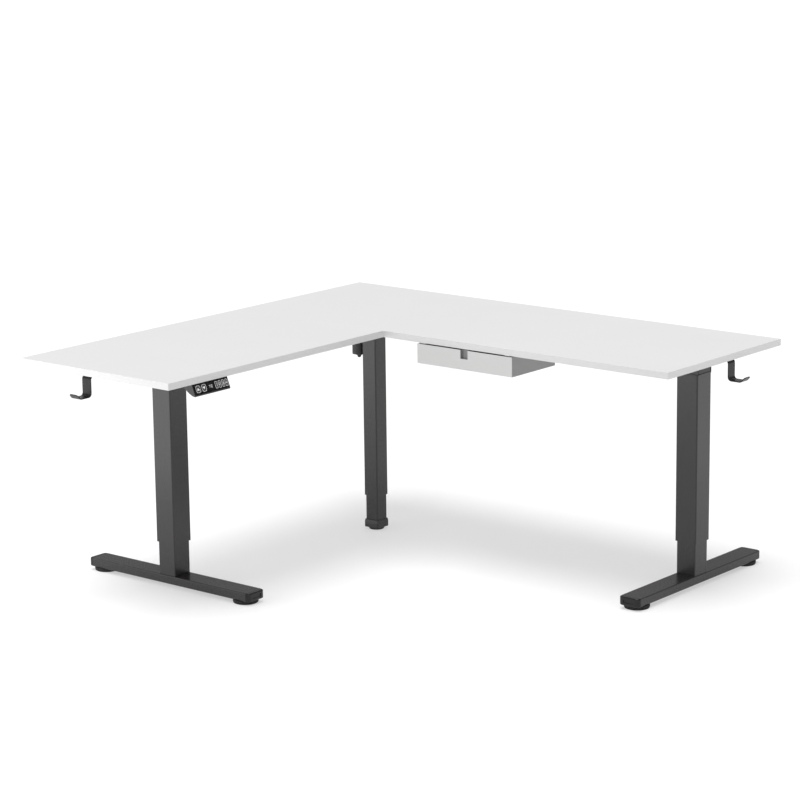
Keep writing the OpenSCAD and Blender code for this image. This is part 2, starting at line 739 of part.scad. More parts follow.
module drawer_tray() color("whitesmoke") translate([drawer_x, drawer_front_y, drawer_top - drawer_h]) {
    difference() {
        cube([drawer_w, drawer_d, drawer_h]);
        translate([drawer_t, drawer_t, drawer_t])
            cube([drawer_w - 2 * drawer_t, drawer_d - 2 * drawer_t, drawer_h]);
        translate([(drawer_w - notch_w) / 2, -1, drawer_h - notch_w])
            cube([notch_w, drawer_t + 2, notch_w + 1]);
        translate([drawer_t, drawer_d - drawer_t - 1, drawer_h - back_drop])
            cube([drawer_w - 2 * drawer_t, drawer_t + 2, back_drop + 1]);
    }
    // finger pocket behind the notch
    translate([(drawer_w - notch_w) / 2, 0, drawer_h - notch_w]) difference() {
        translate([-drawer_t, drawer_t - eps, -drawer_t])
            cube([notch_w + 2 * drawer_t, pull_depth, notch_w + drawer_t]);
        cube([notch_w, pull_depth, notch_w + 1]);
    }
    for (x = [0, drawer_w - drawer_lip]) translate([x, drawer_t, drawer_h - drawer_t])
        cube([drawer_lip, drawer_d - drawer_t, drawer_t]);
}

// Nylon strips riveted under the tray's turned-in edges
module drawer_glides() color("ivory")
    translate([drawer_x, drawer_front_y, drawer_top - drawer_t - glide_strip_t])
    for (x = [drawer_t + 3, drawer_w - drawer_t - 3 - 7]) translate([x, drawer_t + 6, 0])
        cube([7, drawer_d - drawer_t - 12, glide_strip_t]);

// Z-shaped guides: the tray's glides rest on their outward lips
module drawer_guide(side) {
    web_x = side > 0 ? drawer_lip + 1.2 : -drawer_lip - 1.2 - guide_t;
    lip_x = side > 0 ? drawer_t + 2 : -drawer_lip - 1.2 - eps;
    top_x = side > 0 ? drawer_lip + 1.2 : -drawer_lip - 1.2 - 16;
    lip_w = drawer_lip + 1.2 - drawer_t - 2 + eps;
    translate([web_x, 0, guide_low]) cube([guide_t, guide_l, board_z - guide_low]);
    translate([lip_x, 0, guide_low]) cube([lip_w, guide_l, guide_t]);
    translate([top_x, 0, board_z - guide_t]) cube([16, guide_l, guide_t]);
}

module drawer_guides() color("silver") difference() {
    union() {
        translate([drawer_x, drawer_front_y + front_clear, 0]) drawer_guide(1);
        translate([drawer_x + drawer_w, drawer_front_y + front_clear, 0]) drawer_guide(-1);
    }
    screw_holes(guide_screws, board_z - guide_t - 1);
}

// ---------- handset ----------

// Frame of the key face: x runs down the slope, y along the edge, z out of the face
module on_face() translate([face_x, handset_y, board_z]) rotate([0, face_tilt, 0]) children();

// Seen from its end: key face, round nose and an underside that sweeps up to the back
module handset_profile() {
    down = [cos(face_tilt), -sin(face_tilt)];
    nose = face_l * down - nose_r * [sin(face_tilt), cos(face_tilt)];
    start = nose - [0, nose_r];
    tail = [-handset_back + handset_edge, -tail_h];
    sweep = tail - start;
    polygon(concat([[0, 0]], [for (a = [90 - face_tilt:-12:-90]) nose + nose_r * [cos(a), sin(a)]],
        [for (k = [1:8]) start + [sweep[0] * k / 8, sweep[1] * pow(k / 8, tail_bow)]],
        [[tail[0], 0]]));
}

module handset_shell() color("#303032") difference() {
    translate([face_x, handset_y + handset_l / 2, board_z]) rotate([90, 0, 0])
        linear_extrude(handset_l) handset_profile();
    on_face() translate([pocket_rim, -handset_l / 2 + pocket_rim, -pocket_t])
        cube([face_l - 2 * pocket_rim, handset_l - 2 * pocket_rim, pocket_t + 5]);
    for (p = handset_screws) translate([p[0], p[1], board_z - 40]) {
        cylinder(h = 41, r = wood_r + bolt_gap);
        cylinder(h = 37, r = wood_head_r + 0.6);
    }
}

key_row_l = face_l - 2 * pocket_rim - 2 * fit_gap;
key_len = 22;
big_key_w = 19;
small_key_w = 11;
display_w = 26;
row_gap = 5;
// Middle of each piece along the handset, from its left end
key_ys = [for (k = [0, 1]) -handset_l / 2 + 9 + big_key_w / 2 + k * (big_key_w + row_gap)];
display_y = key_ys[1] + big_key_w / 2 + row_gap + display_w / 2;
small_key_ys = [for (k = [0:3]) display_y + display_w / 2 + row_gap + small_key_w / 2
    + k * (small_key_w + 3)];
key_x = face_l / 2;

module key_shape(w, grow) rounded(key_len + 2 * grow, w + 2 * grow, 2 + grow);

module handset_fascia() color("#1c1c1e") on_face() difference() {
    translate([face_l / 2, 0, -fascia_t])
        block(key_row_l, handset_l - 2 * pocket_rim - 2 * fit_gap, fascia_t, 1.5);
    for (y = key_ys) translate([key_x, y, -fascia_t - 1])
        linear_extrude(fascia_t + 2) key_shape(big_key_w, key_gap);
    for (y = small_key_ys) translate([key_x, y, -fascia_t - 1])
        linear_extrude(fascia_t + 2) key_shape(small_key_w, key_gap);
    translate([key_x, display_y, -fascia_t - 1]) linear_extrude(fascia_t + 2) key_shape(display_w, 0.1);
}

module handset_display() color("black") on_face() translate([key_x, display_y, -pocket_t + 1])
    linear_extrude(pocket_t - 1) key_shape(display_w, 0);

module key(y, w) color("#3a3a3d") on_face() translate([key_x, y, 0]) {
    translate([0, 0, -fascia_t - 2]) linear_extrude(fascia_t + 2 + key_proud) key_shape(w, 0);
    translate([0, 0, -fascia_t - 3.2]) linear_extrude(1.3) key_shape(w, 1);
}

module key_up() key(key_ys[0], big_key_w);
module key_down() key(key_ys[1], big_key_w);
module key_one() key(small_key_ys[0], small_key_w);
module key_two() key(small_key_ys[1], small_key_w);
module key_three() key(small_key_ys[2], small_key_w);
module key_memory() key(small_key_ys[3], small_key_w);

// ---------- hooks ----------

function arc(c, r, from, to) =
    [for (k = [0:8]) let (a = from + (to - from) * k / 8) c + r * [cos(a), sin(a)]];

// Where the leaning tip begins on its inner side: the last bend's centre, the tip's own direction
hook_low = -hook_drop + hook_bend_r + hook_t;
hook_up = [cos(hook_lean), sin(hook_lean)];
hook_over = [sin(hook_lean), -cos(hook_lean)];
hook_far = hook_out - (hook_bend_r + hook_t) * hook_over[0] - hook_tip * hook_up[0];
hook_end = [hook_far, hook_low] + hook_bend_r * hook_over + hook_tip * hook_up;

// Bent strap seen from its side: foot under the board, drop, bend outward and leaning tip
function hook_outline(r, t) =
    concat([[-hook_foot_l, -t], [-hook_foot_l, 0]], arc([-r, -r - t], r + t, 90, 0),
        arc([r + t, hook_low], r, 180, 270), arc([hook_far, hook_low], r, 270, 270 + hook_lean),
        [hook_end, hook_end + t * hook_over],
        arc([hook_far, hook_low], r + t, 270 + hook_lean, 270), arc([r + t, hook_low], r + t, 270, 180),
        arc([-r, -r - t], r, 0, 90));

module hook() color("#3c3c3e") difference() {
    translate([0, hook_w / 2, 0]) rotate([90, 0, 0])
        linear_extrude(hook_w) polygon(hook_outline(hook_bend_r, hook_t));
    for (k = hook_screw_ks) translate([-k, 0, -hook_t - 1]) cylinder(h = hook_t + 2, r = wood_r + bolt_gap);
    // the tip's upper corners are rounded off
    for (s = [-1, 1]) translate([hook_end[0], 0, hook_end[1]]) rotate([0, 90 - hook_lean, 0])
        translate([-1, 0, 0]) rotate([90, 0, 90])
            linear_extrude(hook_t + 2) polygon(concat(
                [[s * (hook_w / 2 - hook_round), 1], [s * (hook_w / 2 + 1), 1],
                    [s * (hook_w / 2 + 1), -hook_round]],
                arc([s * (hook_w / 2 - hook_round), -hook_round], hook_round, s > 0 ? 0 : 180, 90)));
}

module left_hook() translate([left_hook_x, left_end + hook_set_back, board_z]) rotate(-90) hook();
module right_hook() translate([right_end - hook_set_back, right_hook_y, board_z]) hook();

// ---------- control box ----------

module box_outline() translate([box_l / 2, box_w / 2]) rounded(box_l, box_w, 6);

// Lower shell with the sockets' openings in its end
module control_box() color("#2c2c2e") translate([box_x, box_y, board_z - box_h]) difference() {
    linear_extrude(box_h - box_wall - fit_gap) box_outline();
    translate([box_l / 2, box_w / 2, box_wall])
        block(box_l - 2 * box_wall, box_w - 2 * box_wall, box_h, 4);
    for (k = [0:3]) translate([-1, 10 + k * 15, 9]) cube([box_wall + 2, 9, 11]);
    translate([box_l - box_wall - 1, box_w / 2 - 14, 8]) cube([box_wall + 2, 28, 16]);
}

// Back plate with the screw tabs, against the board
module control_box_lid() color("#2c2c2e") translate([box_x, box_y, board_z - box_wall]) difference() {
    union() {
        linear_extrude(box_wall) box_outline();
        for (y = [18, box_w - 18]) translate([box_l / 2, y, 0]) block(box_l + 2 * box_tab, 14, box_wall, 5);
    }
    for (x = [-box_tab / 2, box_l + box_tab / 2], y = [18, box_w - 18])
        translate([x, y, -1]) cylinder(h = box_wall + 2, r = wood_r + bolt_gap);
}

main_board();
return_board();
edge_bands();
seam_plates();
wood_screws();
left_outer_tube();
right_outer_tube();
corner_outer_tube();
left_head();
right_head();
corner_head();
left_rails();
right_rails();
frame_bolts();
left_gearbox();
right_gearbox();
corner_gearbox();
left_motor();
right_motor();
corner_motor();
motor_cover();
screw_bearings();
tube_glides();
control_box();
control_box_lid();
handset_shell();
handset_fascia();
handset_display();
left_hook();
right_hook();
drawer_guides();
drawer_tray();
drawer_glides();
key_up();
key_down();
key_one();
key_two();
key_three();
key_memory();
left_screw();
right_screw();
corner_screw();
left_inner_tube();
left_foot_beam();
left_end_caps();
left_nut();
left_foot_bolts();
right_inner_tube();
right_foot_beam();
right_end_caps();
right_nut();
right_foot_bolts();
corner_inner_tube();
corner_foot();
corner_nut();
left_front_pad();
left_back_pad();
right_front_pad();
right_back_pad();
corner_pad();
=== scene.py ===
"""Looks, studio and camera for the L-shaped height adjustable desk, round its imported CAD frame."""

import json
import math

import bmesh
import bpy
from mathutils import Matrix, Vector

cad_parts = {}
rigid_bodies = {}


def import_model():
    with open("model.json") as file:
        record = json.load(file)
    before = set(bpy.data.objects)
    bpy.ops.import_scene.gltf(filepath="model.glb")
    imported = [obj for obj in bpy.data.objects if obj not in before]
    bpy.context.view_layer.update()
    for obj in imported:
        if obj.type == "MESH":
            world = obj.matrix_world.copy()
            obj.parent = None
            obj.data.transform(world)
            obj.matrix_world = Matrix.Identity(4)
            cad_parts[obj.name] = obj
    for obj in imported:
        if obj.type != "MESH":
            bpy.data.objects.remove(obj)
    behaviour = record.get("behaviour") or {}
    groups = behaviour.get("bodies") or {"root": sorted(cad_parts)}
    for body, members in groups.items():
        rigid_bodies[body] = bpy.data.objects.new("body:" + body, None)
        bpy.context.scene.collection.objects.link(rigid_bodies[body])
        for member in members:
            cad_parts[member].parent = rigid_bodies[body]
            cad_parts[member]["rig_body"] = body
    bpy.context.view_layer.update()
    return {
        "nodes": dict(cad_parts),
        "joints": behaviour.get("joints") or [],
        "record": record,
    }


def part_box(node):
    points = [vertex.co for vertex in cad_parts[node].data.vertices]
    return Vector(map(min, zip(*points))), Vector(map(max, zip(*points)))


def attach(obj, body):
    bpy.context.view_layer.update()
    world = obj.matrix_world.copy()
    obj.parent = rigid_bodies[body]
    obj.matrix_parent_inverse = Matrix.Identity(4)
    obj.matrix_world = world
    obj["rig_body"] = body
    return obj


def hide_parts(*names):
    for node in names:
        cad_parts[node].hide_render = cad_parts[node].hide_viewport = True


bl_info = {
    "name": "Height adjustable corner desk",
    "version": (1, 0, 0),
    "blender": (4, 5, 0),
    "location": "3D View > Sidebar > Desk",
    "description": "Builds the finished pieces, materials and studio of an L-shaped standing desk",
    "category": "Object",
}

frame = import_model()

NODES = frame["nodes"]
SLOT_OF = {part["node"]: part["material_slot"] for part in frame["record"]["subparts"]}
WHITE = (1.0, 1.0, 1.0, 1.0)
MERGE = 1e-6                # vertices closer than this are one
FLAT_ANGLE = 0.6            # degrees, faces this close to flat are joined
SHARP_ANGLE = 28            # degrees, steeper edges are rounded
SHADE_ANGLE = 50            # degrees, steeper edges stay sharp in the shading


# ---------- sizes and colours that a user would change ----------

class DeskShapes(bpy.types.PropertyGroup):
    board_round: bpy.props.FloatProperty(
        name="Board arris", description="Rounding of the worktop's edges",
        default=0.0006, min=0.0001, max=0.0009, unit="LENGTH")
    steel_round: bpy.props.FloatProperty(
        name="Steel edges", description="Rounding of cut steel edges",
        default=0.0004, min=0.0001, max=0.0008, unit="LENGTH")
    beam_round: bpy.props.FloatProperty(
        name="Foot beam edges", description="Rounding of the foot beams' edges",
        default=0.0008, min=0.0001, max=0.0012, unit="LENGTH")
    cast_round: bpy.props.FloatProperty(
        name="Cast edges", description="Rounding of cast and moulded edges",
        default=0.0012, min=0.0003, max=0.002, unit="LENGTH")
    cap_round: bpy.props.FloatProperty(
        name="Foot cap rounding", description="Rounding round the foot caps' faces",
        default=0.0035, min=0.001, max=0.006, unit="LENGTH")
    key_round: bpy.props.FloatProperty(
        name="Key edges", description="Rounding of the keys' top edges",
        default=0.0005, min=0.0001, max=0.0008, unit="LENGTH")


class DeskColours(bpy.types.PropertyGroup):
    worktop: bpy.props.FloatVectorProperty(
        name="Worktop", description="Melamine of the boards",
        default=(0.765, 0.758, 0.762), subtype="COLOR", min=0, max=1)
    frame: bpy.props.FloatVectorProperty(
        name="Frame", description="Powder coat of the columns, feet and hooks",
        default=(0.0205, 0.0180, 0.0192), subtype="COLOR", min=0, max=1)
    drawer: bpy.props.FloatVectorProperty(
        name="Drawer", description="Powder coat of the drawer",
        default=(0.66, 0.66, 0.655), subtype="COLOR", min=0, max=1)
    handset: bpy.props.FloatVectorProperty(
        name="Handset", description="Plastic of the handset's shell",
        default=(0.026, 0.026, 0.028), subtype="COLOR", min=0, max=1)


class DeskStudio(bpy.types.PropertyGroup):
    camera_place: bpy.props.FloatVectorProperty(
        name="Camera place", description="Where the camera stands",
        default=(5.477, -6.537, 2.330), subtype="TRANSLATION", unit="LENGTH")
    camera_turn: bpy.props.FloatProperty(
        name="Camera turn", description="Turn of the view about the vertical",
        default=math.radians(39.42), subtype="ANGLE")
    camera_tilt: bpy.props.FloatProperty(
        name="Camera tilt", description="How far the view looks down",
        default=math.radians(12.62), subtype="ANGLE")
    camera_roll: bpy.props.FloatProperty(
        name="Camera roll", description="Roll of the view",
        default=math.radians(-0.7), subtype="ANGLE")
    camera_lens: bpy.props.FloatProperty(
        name="Focal length", description="Focal length on a 36 mm wide sensor, in millimetres",
        default=123.5, min=20, max=400)
    sky: bpy.props.FloatProperty(
        name="Sky light", description="Strength of the even light from all sides",
        default=0.38, min=0, max=3)
    top_light: bpy.props.FloatProperty(
        name="Top light", description="Strength of the soft light from above",
        default=2.75, min=0, max=10)
    left_panel: bpy.props.FloatProperty(
        name="Left panel", description="Power of the soft panel in front of the left leg, in watts",
        default=8.5, min=0, max=200)
    right_panel: bpy.props.FloatProperty(
        name="Right panel", description="Power of the soft panel behind the right leg, in watts",
        default=0.5, min=0, max=200)
    floor_glow: bpy.props.FloatProperty(
        name="Floor glow", description="Light that the pale floor gives of itself",
        default=0.5, min=0, max=1)


# ---------- materials ----------

class Value:
    """A number on a socket: arithmetic on it adds Math nodes to its material."""

    def __init__(self, look, socket):
        self.look, self.socket = look, socket

    def math(self, operation, first, second):
        made = self.look.node("ShaderNodeMath", {"operation": operation}, {0: first, 1: second})
        return Value(self.look, made.outputs[0])

    def __add__(self, other):
        return self.math("ADD", self, other)

    def __mul__(self, other):
        return self.math("MULTIPLY", self, other)

    __radd__ = __add__
    __rmul__ = __mul__


class Look:
    """A procedural material: one Principled shader and the textures that feed it."""

    def __init__(self, name, constants):
        self.material = bpy.data.materials.new(name)
        self.material.use_nodes = True
        self.tree = self.material.node_tree
        self.tree.nodes.clear()
        self.shader = self.node("ShaderNodeBsdfPrincipled", {}, constants)
        self.node("ShaderNodeOutputMaterial", {}, {"Surface": self.shader.outputs["BSDF"]})
        self.place = self.node("ShaderNodeTexCoord", {}, {}).outputs["Object"]

    def node(self, kind, settings, inputs):
        made = self.tree.nodes.new(kind)
        for key, value in settings.items():
            if key == "stops":
                for element, (position, level) in zip(made.color_ramp.elements, value):
                    element.position = position
                    element.color = (level, level, level, 1)
            else:
                setattr(made, key, value)
        self.feed(made, inputs)
        return made

    def feed(self, node, inputs):
        for key, value in inputs.items():
            if isinstance(value, Value):
                value = value.socket
            if isinstance(value, bpy.types.NodeSocket):
                self.tree.links.new(value, node.inputs[key])
            else:
                node.inputs[key].default_value = value

    def surface(self, **inputs):
        self.feed(self.shader, {key.replace("_", " "): value for key, value in inputs.items()})
        return self.material

    def stretched(self, scale):
        return self.node("ShaderNodeMapping", {}, {"Vector": self.place, "Scale": scale}).outputs[0]

    def noise(self, scale, detail=2.0, stretch=None):
        where = self.stretched(stretch) if stretch else self.place
        made = self.node("ShaderNodeTexNoise", {},
                         {"Vector": where, "Scale": scale, "Detail": detail})
        return Value(self, made.outputs[0])

    def cells(self, scale):
        made = self.node("ShaderNodeTexVoronoi", {}, {"Vector": self.place, "Scale": scale})
        return Value(self, made.outputs[0])

    def ramp(self, value, low, high):
        made = self.node("ShaderNodeValToRGB", {"stops": ((low, 0.0), (high, 1.0))}, {"Fac": value})
        return Value(self, made.outputs[0])

    def blend(self, share, first, second):
        made = self.node("ShaderNodeMix", {"data_type": "RGBA"}, {0: share, 6: first, 7: second})
        return made.outputs[2]

    def bump(self, height, distance, strength=1.0):
        made = self.node("ShaderNodeBump", {},
                         {"Height": height, "Distance": distance, "Strength": strength})
        return made.outputs[0]


def shade(colour, factor):
    return tuple(min(c * factor, 1.0) for c in colour[:3]) + (1.0,)


def melamine(name, colour, roughness, pore):
    """White furniture board: almost even, with a fine pearl and a satin gloss."""
    look = Look(name, {"Specular IOR Level": 0.5})
    cloud = look.noise(5.0, 3.0)
    pearl = look.noise(1500.0, 2.0)
    pores = look.noise(pore, 3.0)
    return look.surface(
        Base_Color=look.blend(cloud * 0.7 + pores * 0.3,
                              shade(colour, 0.975), shade(colour, 1.025)),
        Roughness=roughness + 0.08 * pores,
        Normal=look.bump(pearl * 0.5 + pores * 0.5, 0.00003, 0.5))


def powder_coat(name, colour, roughness, grain=900.0, depth=0.00008, spread=0.16, shine=0.5):
    """Baked powder paint: a fine orange peel and tiny lighter specks."""
    look = Look(name, {"Specular IOR Level": shine})
    peel = look.noise(grain, 2.0)
    specks = look.ramp(look.noise(grain * 2.4, 1.0), 0.56, 0.70)
    cloud = look.noise(9.0, 3.0)
    base = look.blend(cloud, shade(colour, 1 - spread / 2), shade(colour, 1 + spread / 2))
    return look.surface(
        Base_Color=look.blend(specks * 0.35, base, shade(colour, 1 + 3 * spread)),
        Roughness=roughness + 0.12 * peel,
        Normal=look.bump(peel, depth, 0.6))


def moulded(name, colour, roughness, grain=1300.0, depth=0.00005):
    """Injection moulded plastic with an etched grain."""
    look = Look(name, {"Specular IOR Level": 0.5})
    etched = look.cells(grain)
    cloud = look.noise(25.0, 2.0)
    return look.surface(
        Base_Color=look.blend(cloud * 0.5 + etched * 0.5, shade(colour, 0.88), shade(colour, 1.12)),
        Roughness=roughness + 0.1 * etched,
        Normal=look.bump(etched, depth, 0.5))


def bare_metal(name, colour, roughness, stretch, grain=600.0):
    """Ground or drawn metal: long fine marks along one direction."""
    look = Look(name, {"Metallic": 1.0})
    marks = look.noise(grain, 4.0, stretch)
    cloud = look.noise(30.0, 2.0)
    return look.surface(
        Base_Color=look.blend(marks * 0.6 + cloud * 0.4, shade(colour, 0.85), shade(colour, 1.12)),
        Roughness=roughness + 0.16 * marks,
        Normal=look.bump(marks, 0.00004, 0.5))


def galvanised(name, colour):
    """Zinc dipped sheet with its spangle."""
    look = Look(name, {"Metallic": 1.0})
    spangle = look.cells(160.0)
    streaks = look.noise(700.0, 3.0, (1.0, 0.08, 1.0))
    return look.surface(
        Base_Color=look.blend(spangle * 0.7 + streaks * 0.3,
                              shade(colour, 0.8), shade(colour, 1.15)),
        Roughness=0.32 + 0.18 * spangle,
        Normal=look.bump(spangle * 0.5 + streaks * 0.5, 0.00005, 0.4))


def glossy(name, colour, roughness, coat, shine):
    """Polished plastic with a faint flow mark."""
    look = Look(name, {"Specular IOR Level": shine, "Coat Roughness": 0.08})
    flow = look.noise(40.0, 3.0, (1.0, 1.0, 0.3))
    fine = look.noise(1100.0, 1.0)
    return look.surface(
        Base_Color=look.blend(flow, shade(colour, 0.85), shade(colour, 1.2)),
        Roughness=roughness + 0.06 * fine, Coat_Weight=coat + 0.1 * flow,
        Normal=look.bump(fine * 0.4 + flow * 0.6, 0.00003, 0.3))


def rubber(name, colour):
    look = Look(name, {"Specular IOR Level": 0.35})
    grain = look.noise(1200.0, 4.0)
    scuffs = look.ramp(look.noise(120.0, 5.0), 0.52, 0.72)
    return look.surface(
        Base_Color=look.blend(scuffs * 0.3 + grain * 0.2, colour + (1,), shade(colour, 2.2)),
        Roughness=0.62 + 0.2 * grain,
        Normal=look.bump(grain, 0.0001, 0.6))


def lit_symbol(name, glow):
    """White print with a painted glow, or lit segments."""
    look = Look(name, {"Emission Color": WHITE, "Emission Strength": glow})
    ink = look.noise(2500.0, 2.0)
    return look.surface(
        Base_Color=look.blend(ink, (0.72, 0.72, 0.72, 1), (0.86, 0.86, 0.86, 1)),
        Roughness=0.45 + 0.1 * ink)


def make_looks(colours):
    """One material for each slot of the record, and three more: the drawer body in painted shade,
    print with a painted glow, and lit.
    """
    return {
        "laminate": melamine("white_melamine", colours.worktop, 0.26, 420.0),
        "edge": melamine("white_edge_band", shade(colours.worktop, 0.98)[:3], 0.30, 260.0),
        "frame_paint": powder_coat("charcoal_powder_coat", colours.frame, 0.22),
        "hook_paint": powder_coat("black_hook_coat", shade(colours.frame, 0.35)[:3], 0.26,
                                  shine=0.25),
        "drawer_paint": powder_coat("white_drawer_coat", colours.drawer, 0.36, 700.0,
                                    0.00006, 0.04),
        # painted shade: the drawer's sides, back and bottom take its coat darkened to 0.42, standing
        # in for the shade they lie in under the worktop
        "drawer_painted_shade": powder_coat("drawer_coat_painted_shade", shade(colours.drawer, 0.42)[:3], 0.36, 700.0,
                                   0.00006, 0.04),
        "motor_can": powder_coat("black_motor_coat", (0.022, 0.022, 0.024), 0.34, 1100.0),
        "fastener": bare_metal("zinc_fastener", (0.62, 0.61, 0.58), 0.28, (1.0, 1.0, 0.3), 900.0),
        "black_fastener": bare_metal("black_fastener", (0.10, 0.10, 0.105), 0.34,
                                     (1.0, 1.0, 0.3), 900.0),
        "screw_steel": bare_metal("ground_steel", (0.56, 0.56, 0.57), 0.22,
                                  (1.0, 1.0, 12.0), 200.0),
        "guide_steel": galvanised("galvanised_sheet", (0.60, 0.61, 0.62)),
        "black_plastic": moulded("black_plastic", (0.024, 0.024, 0.026), 0.46),
        "nylon": moulded("ivory_nylon", (0.66, 0.63, 0.53), 0.38, 500.0, 0.00002),
        "handset_body": moulded("handset_shell_plastic", colours.handset, 0.42, 1500.0),
        "handset_face": moulded("handset_fascia_plastic", (0.018, 0.018, 0.02), 0.26, 1800.0,
                                0.00002),
        "key_plastic": moulded("key_plastic", (0.06, 0.06, 0.064), 0.36, 1800.0, 0.00002),
        "display_window": glossy("display_window", (0.006, 0.006, 0.007), 0.06, 0.25, 0.55),
        "cap_plastic": glossy("foot_cap_plastic", (0.005, 0.005, 0.0055), 0.16, 0.0, 0.35),
        "pad_rubber": rubber("pad_rubber", (0.016, 0.016, 0.017)),
        # painted glow: the keys' white print gives light of itself, though it is no lamp
        "print": lit_symbol("white_print_painted_glow", 0.12),
        "lit": lit_symbol("lit_segments", 0.1),
    }


LOOKS = {}
QUARTER = math.pi / 2       # a quarter turn
FRONT_SHEET = 0.0018        # depth of the drawer front's white sheet
SLOT_DEPTH = 0.0016         # depth of the slot in a foot's end cap
SLOT_SLOPE = 0.0005         # how far the slot's sides lean in
KEY_FLANGE = 0.001          # how far a key's hidden flange reaches past its cap
KEY_LENGTH = 0.022          # length of a key's cap down the slope
KEY_ARROW = 0.009           # size of the arrows on the up and down keys
KEY_DIGIT = 0.0072          # height of the numbers on the keys
PLUS_BAR = (0.0052, 0.0011)  # length and width of a bar of the memory key's plus
BORDER_LINE = 0.0009        # line of the frame printed round a key
PRINT_HEIGHT = 0.0001       # thickness of the print on the keys
LIT_DIGIT = 0.0075          # height of the display's digits
LIT_HEIGHT = 0.00012        # thickness of the display's segments
DIGIT_PITCH = 0.0050        # distance between the display's digits
SEGMENT_SHARE = 0.13        # a segment's width as a share of its digit's height
FACE_BAND = 0.0001          # points this close under a piece's highest one are on its face
FLOOR_HALF = 90.0           # half the width of the floor
TOP_LAMP_SPREAD = 36        # degrees, how wide the top lamp looks from the desk
CAMERA_REACH = 500          # how far the camera sees


# ---------- making pieces ----------

def middle(box):
    return (box[0] + box[1]) / 2


def add_piece(bm, name, body, slot, look=None, nodes=()):
    """Turns a bmesh into a finished piece that rides on a body."""
    mesh = bpy.data.meshes.new(name)
    bm.to_mesh(mesh)
    bm.free()
    mesh.shade_smooth()
    mesh.set_sharp_from_angle(angle=math.radians(SHADE_ANGLE))
    mesh.materials.append(LOOKS[look or slot])
    piece = bpy.data.objects.new(name, mesh)
    bpy.context.scene.collection.objects.link(piece)
    even = piece.modifiers.new("even_faces", "WEIGHTED_NORMAL")
    even.keep_sharp = True
    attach(piece, body)
    if nodes:
        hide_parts(*nodes)
    return piece


def sharp_edges(bm):
    """The edges where two faces meet at more than the sharp angle."""
    limit = math.radians(SHARP_ANGLE)
    return [e for e in bm.edges if len(e.link_faces) == 2 and e.calc_face_angle() > limit]


def round_edges(bm, edges, width, segments):
    """Bevels edges to a round of that width."""
    bmesh.ops.bevel(bm, geom=edges, offset=width, offset_type="OFFSET", segments=segments,
                    affect="EDGES", profile=0.5, material=-1, clamp_overlap=False)


def merged_copy(node):
    """A CAD node's mesh as one skin, its flat faces joined."""
    bm = bmesh.new()
    bm.from_mesh(NODES[node].data)
    bmesh.ops.remove_doubles(bm, verts=bm.verts, dist=MERGE)
    bmesh.ops.dissolve_limit(bm, angle_limit=math.radians(FLAT_ANGLE),
                             verts=bm.verts, edges=bm.edges)
    return bm


def soften(node, width, segments=2):
    """A copy of a CAD node with its sharp edges rounded, in the node's place."""
    bm = merged_copy(node)
    round_edges(bm, sharp_edges(bm), width, segments)
    body = NODES[node]["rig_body"]
    return add_piece(bm, node + "_finished", body, SLOT_OF[node], nodes=(node,))


def dress(node):
    """Gives a CAD node its finish and leaves its shape alone."""
    target = NODES[node]
    if not target.material_slots:
        target.data.materials.append(None)
    for place in target.material_slots:
        place.material = LOOKS[SLOT_OF[node]]


def cuboid(low, high):
    """A bmesh of a box between two corners."""
    bm = bmesh.new()
    size = Vector(high) - Vector(low)
    bmesh.ops.create_cube(bm, size=1, matrix=Matrix.Translation((Vector(low) + Vector(high)) / 2)
                          @ Matrix.Diagonal(size).to_4x4())
    return bm


def rounded_cuboid(low, high, width, segments=3):
    bm = cuboid(low, high)
    round_edges(bm, bm.edges[:], width, segments)
    return bm


def join(parts):
    """One bmesh from several."""
    whole = bmesh.new()
    for part in parts:
        scratch = bpy.data.meshes.new("scratch")
        part.to_mesh(scratch)
        part.free()
        whole.from_mesh(scratch)
        bpy.data.meshes.remove(scratch)
    return whole


# ---------- worktop ----------

def build_worktop(shapes):
    """Two boards and the band round them, each with its fine arris."""
    for node, name in (("main_board", "right_wing_board"), ("return_board", "left_wing_board")):
        low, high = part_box(node)
        add_piece(rounded_cuboid(low, high, shapes.board_round / 3, 2), name, "desktop", "laminate",
                  nodes=(node,))
    main_low, main_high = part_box("main_board")
    turn_low, turn_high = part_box("return_board")
    low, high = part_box("edge_bands")
    band = main_low.x - low.x
    inner_x, inner_y = turn_high.x + band, turn_high.y
    strips = (
        ((low.x, inner_y), (main_low.x, high.y)),
        ((main_low.x, main_high.y), (main_high.x, high.y)),
        ((main_high.x, inner_y), (high.x, high.y)),
        ((main_low.x, inner_y), (main_high.x, inner_y + band)),
        ((low.x, low.y), (turn_low.x, inner_y)),
        ((turn_low.x, low.y), (turn_high.x, turn_low.y)),
        ((turn_high.x, low.y), (inner_x, inner_y)),
    )
    arris = min(shapes.board_round, band * 0.45)
    parts = [rounded_cuboid(Vector((*a, low.z)), Vector((*b, high.z)), arris) for a, b in strips]
    add_piece(join(parts), "edge_band_strips", "desktop", "edge", nodes=("edge_bands",))


# ---------- feet ----------

def foot_cap(width, length, height, rounding, corner):
    """A foot's end cap: its flat back lies on y = 0, its slot is in the face at y = length."""
    bm = cuboid((-width / 2, 0, 0), (width / 2, length, height))
    upright = [e for e in bm.edges if all(v.co.y > length / 2 for v in e.verts)
               and abs(e.verts[0].co.z - e.verts[1].co.z) > height / 2]
    round_edges(bm, upright, corner, 8)
    rim = [e for e in sharp_edges(bm) if not all(v.co.y < MERGE for v in e.verts)]
    round_edges(bm, rim, rounding, 5)
    face = max((f for f in bm.faces if f.normal.y > 0.99), key=lambda f: f.calc_area())
    margin = (height - 2 * rounding) * 0.26
    bmesh.ops.inset_region(bm, faces=[face], thickness=margin, use_even_offset=True)
    bmesh.ops.inset_region(bm, faces=[face], thickness=SLOT_SLOPE, depth=-SLOT_DEPTH,
                           use_even_offset=True)
    return bm


